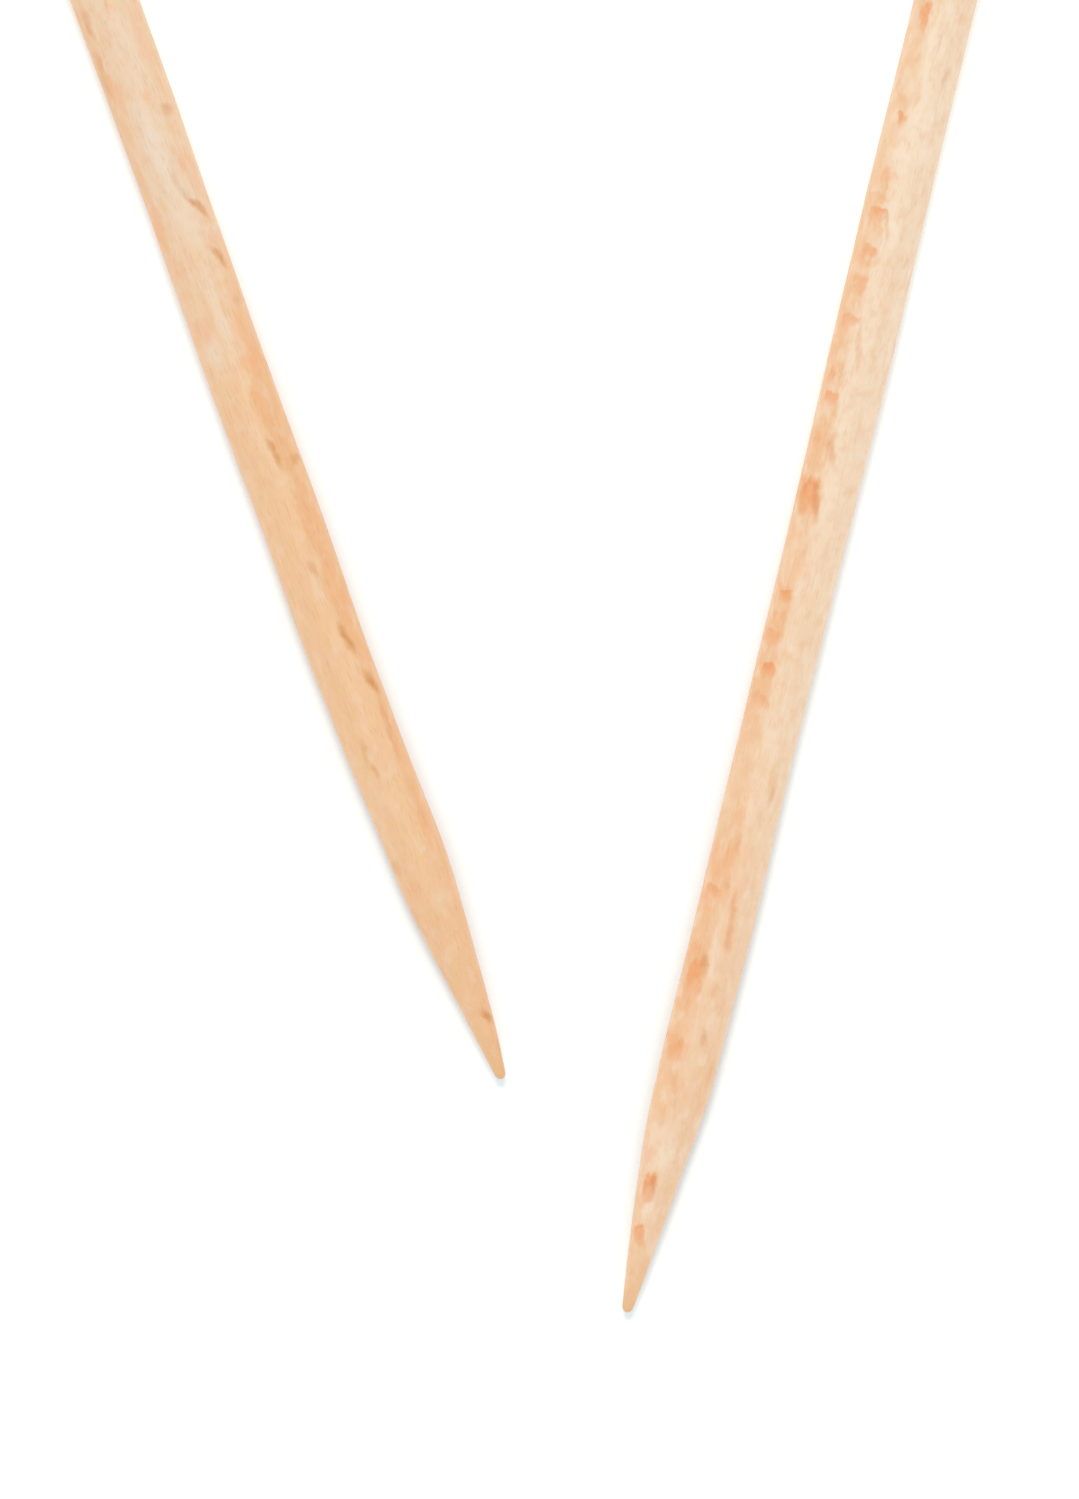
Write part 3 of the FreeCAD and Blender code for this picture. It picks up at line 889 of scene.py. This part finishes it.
COMMON = {
    "ring": srgb(237, 188, 142),
    "late": srgb(230, 174, 126),
    "rose": srgb(240, 190, 158),
    "straw": srgb(235, 194, 142),
    "pore": srgb(212, 158, 112),
    "waxed_end": srgb(226, 174, 124),
    "handled": srgb(232, 184, 134),
    "glue": srgb(176, 118, 72),
    "joint_at": 240.5,
    "cloud": 0.4,
    "ray_cells": (0.34, 0.75, 1.9),
}
LOOKS = {
    "left_shaft": COMMON | {
        "turn": math.radians(14),
        "cut_from": (0.0, 3.0, 11.0),
        "ring_width": 2.3,
        "tones": LEFT_TONES,
        "bands": LEFT_BANDS,
        "warm": srgb(239, 192, 146),
        "pale": srgb(241, 211, 180),
        "fleck": srgb(226, 165, 114),
        "ring_depth": 0.12,
        "late_depth": 0.1,
        "rose_depth": 0.5,
        "straw_depth": 0.5,
        "pale_depth": 0.4,
        "ray_depth": 0.55,
        "pore_depth": 0.42,
        "marked_to": 86,
        "marks": [
            (LEFT_PALE, 0.8, 0.0, 0.5, srgb(238, 219, 199)),
            (LEFT_WARM, 0.8, 0.0, 0.5, srgb(243, 178, 131)),
            (LEFT_GREY, 0.8, 0.0, 0.2, srgb(224, 192, 162)),
            (LEFT_DARK, 0.75, 0.0, 0.25, srgb(217, 152, 94)),
        ],
    },
    "right_shaft": COMMON | {
        "turn": math.radians(-10),
        "cut_from": (40.0, -7.0, 25.0),
        "ring_width": 2.1,
        "tones": RIGHT_TONES,
        "bands": RIGHT_BANDS,
        "warm": srgb(242, 203, 165),
        "pale": srgb(248, 229, 206),
        "fleck": srgb(236, 175, 128),
        "ring_depth": 0.06,
        "late_depth": 0.06,
        "rose_depth": 0.4,
        "straw_depth": 0.35,
        "pale_depth": 0.4,
        "ray_depth": 0.55,
        "pore_depth": 0.28,
        "marked_to": 101,
        "marks": [
            (RIGHT_PALE, 0.8, 0.0, 0.5, srgb(250, 231, 210)),
            (RIGHT_WARM, 0.8, 0.0, 0.5, srgb(243, 188, 144)),
            (RIGHT_FLECKS, 0.55, 0.5, 0.3, srgb(239, 159, 101)),
            (RIGHT_DARK, 0.75, 0.0, 0.2, srgb(219, 152, 100)),
        ],
    },
}
KNOB_LOOK = COMMON | {
    "turn": math.radians(20),
    "cut_from": (90.0, 20.0, -14.0),
    "ring_width": 2.0,
    "tones": [(0, srgb(241, 201, 158)), (250, srgb(241, 201, 158))],
    "bands": [],
    "warm": srgb(239, 190, 144),
    "pale": srgb(244, 214, 180),
    "fleck": srgb(226, 163, 112),
    "ring_depth": 0.45,
    "late_depth": 0.55,
    "rose_depth": 0.3,
    "straw_depth": 0.3,
    "pale_depth": 0.2,
    "ray_depth": 0.55,
    "ray_cells": (0.34, 0.8, 2.8),
    "pore_depth": 0.6,
    "marked_to": 0,
    "marks": [],
}
LOOKS["left_knob"] = KNOB_LOOK
LOOKS["right_knob"] = KNOB_LOOK | {"turn": math.radians(-35), "cut_from": (130.0, -31.0, 9.0)}


# ---------------------------------------------------------------- making the needles

needles = {side: Needle(side) for side in ("left", "right")}

for seed, (side, needle) in enumerate(needles.items(), start=1):
    made = {
        "shaft": turned(
            f"{side}_shaft_wood", needle, shaft_outline(needle), hand_sanded(needle, seed), folds=4
        ),
        "knob": turned(
            f"{side}_knob_wood", needle, knob_outline(needle), lathe_turned(needle, seed), folds=1
        ),
    }
    for piece, obj in made.items():
        node = f"{side}_{piece}"
        obj.data.materials.append(beech(node + "_beech", LOOKS[node]))
        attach(obj, f"{side}_needle")
        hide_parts(node)


# ---------------------------------------------------------------- floor, light and camera

SKY_LEVEL = 0.71
LAMP_LEVEL = 0.29
LAMP_ELEVATION = math.radians(68)
LAMP_BEARING = math.radians(6)
LAMP_SPREAD = math.radians(14)
FLOOR_TINT = (1.06, 1.0, 0.92, 1.0)
FLOOR_GLOW = (0.04, 0.18, 0.28, 1)
# The floor's tint and glow as they light the needles, where the camera sees the ones above.
UNSEEN_TINT = (0.9, 0.9, 0.9, 1)
UNSEEN_GLOW = (0.4, 0.4, 0.4, 1)
FLOOR_HALF_SIZE = 8.0
# How far the painted shade close beside the needles reaches, and how strong it is: ambient
# occlusion darkens the floor's colour there.
PAINTED_SHADE_REACH = 2.0 * MM
PAINTED_SHADE_SHARE = 0.62
SKY_COLOUR = (1.0, 0.99, 0.97, 1)
WHITE = (1, 1, 1, 1)
LAMP_COLOUR = (1.0, 0.98, 0.94)


def add_floor():
    """A white floor that glows like a light table and keeps the needles' shadow.

    Its glow lights their sides and undersides. As the camera sees it, it is a little
    bluer, so that the wood's warm light thrown back on it hardly shows, and it carries
    painted shade close beside them, where ambient occlusion darkens its colour.
    """
    edge = FLOOR_HALF_SIZE
    corners = [(-edge, -edge, 0), (edge, -edge, 0), (edge, edge, 0), (-edge, edge, 0)]
    mesh = bpy.data.meshes.new("floor")
    mesh.from_pydata(corners, [], [(0, 1, 2, 3)])
    floor = bpy.data.objects.new("floor", mesh)
    bpy.context.scene.collection.objects.link(floor)
    g = Graph("white_floor")
    path = g.node("ShaderNodeLightPath").outputs
    seen = g.math("MAXIMUM", path["Is Camera Ray"], path["Is Glossy Ray"])
    # Painted shade: for camera and glossy rays, ambient occlusion darkens the floor's colour close
    # beside the needles.
    near = g.node(
        "ShaderNodeAmbientOcclusion", {"Color": FLOOR_TINT, "Distance": PAINTED_SHADE_REACH}, samples=8
    ).outputs["Color"]
    tint = g.mix(seen, UNSEEN_TINT, g.mix(PAINTED_SHADE_SHARE, FLOOR_TINT, near))
    paper = g.node("ShaderNodeBsdfDiffuse", {"Color": tint})
    lift = g.mix(seen, UNSEEN_GLOW, FLOOR_GLOW)
    glow = g.node("ShaderNodeEmission", {"Color": lift, "Strength": 1.0})
    both = g.node("ShaderNodeAddShader", {0: paper.outputs[0], 1: glow.outputs[0]})
    output = g.node("ShaderNodeOutputMaterial")
    g.set(output.inputs["Surface"], both.outputs[0])
    mesh.materials.append(g.material)


def add_light():
    """An even, faintly warm sky, and a weak lamp from beyond the knobs."""
    world = bpy.data.worlds.new("sky")
    bpy.context.scene.world = world
    world.use_nodes = True
    nodes, links = world.node_tree.nodes, world.node_tree.links
    nodes.clear()
    path = nodes.new("ShaderNodeLightPath").outputs
    seen = nodes.new("ShaderNodeMath")
    seen.operation = "MAXIMUM"
    links.new(path["Is Camera Ray"], seen.inputs[0])
    links.new(path["Is Glossy Ray"], seen.inputs[1])
    sky = nodes.new("ShaderNodeBackground")
    sky.inputs["Color"].default_value = SKY_COLOUR
    sky.inputs["Strength"].default_value = SKY_LEVEL
    white = nodes.new("ShaderNodeBackground")
    white.inputs["Color"].default_value = WHITE
    choose = nodes.new("ShaderNodeMixShader")
    links.new(seen.outputs[0], choose.inputs[0])
    links.new(sky.outputs[0], choose.inputs[1])
    links.new(white.outputs[0], choose.inputs[2])
    output = nodes.new("ShaderNodeOutputWorld")
    links.new(choose.outputs[0], output.inputs["Surface"])

    lamp = bpy.data.lights.new("lamp", "SUN")
    lamp.energy = LAMP_LEVEL * math.pi / math.sin(LAMP_ELEVATION)
    lamp.angle = LAMP_SPREAD
    lamp.color = LAMP_COLOUR
    holder = bpy.data.objects.new("lamp", lamp)
    flat = math.cos(LAMP_ELEVATION)
    towards = Vector(
        (-flat * math.sin(LAMP_BEARING), flat * math.cos(LAMP_BEARING), math.sin(LAMP_ELEVATION))
    )
    holder.rotation_mode = "QUATERNION"
    holder.rotation_quaternion = towards.to_track_quat("Z", "Y")
    bpy.context.scene.collection.objects.link(holder)


def add_camera():
    """Straight above the points, far off behind a long lens, with +Y up the picture."""
    data = bpy.data.cameras.new("camera")
    data.lens = LENS
    data.sensor_width = SENSOR
    camera = bpy.data.objects.new("camera", data)
    between_tips = (needles["left"].tip + needles["right"].tip) / 2
    camera.location = between_tips + VIEW_OFFSET + Vector((0, 0, VIEW_HEIGHT * LENS / SENSOR))
    bpy.context.scene.collection.objects.link(camera)
    bpy.context.scene.camera = camera


add_floor()
add_light()
add_camera()
bpy.context.scene.view_settings.view_transform = "Standard"
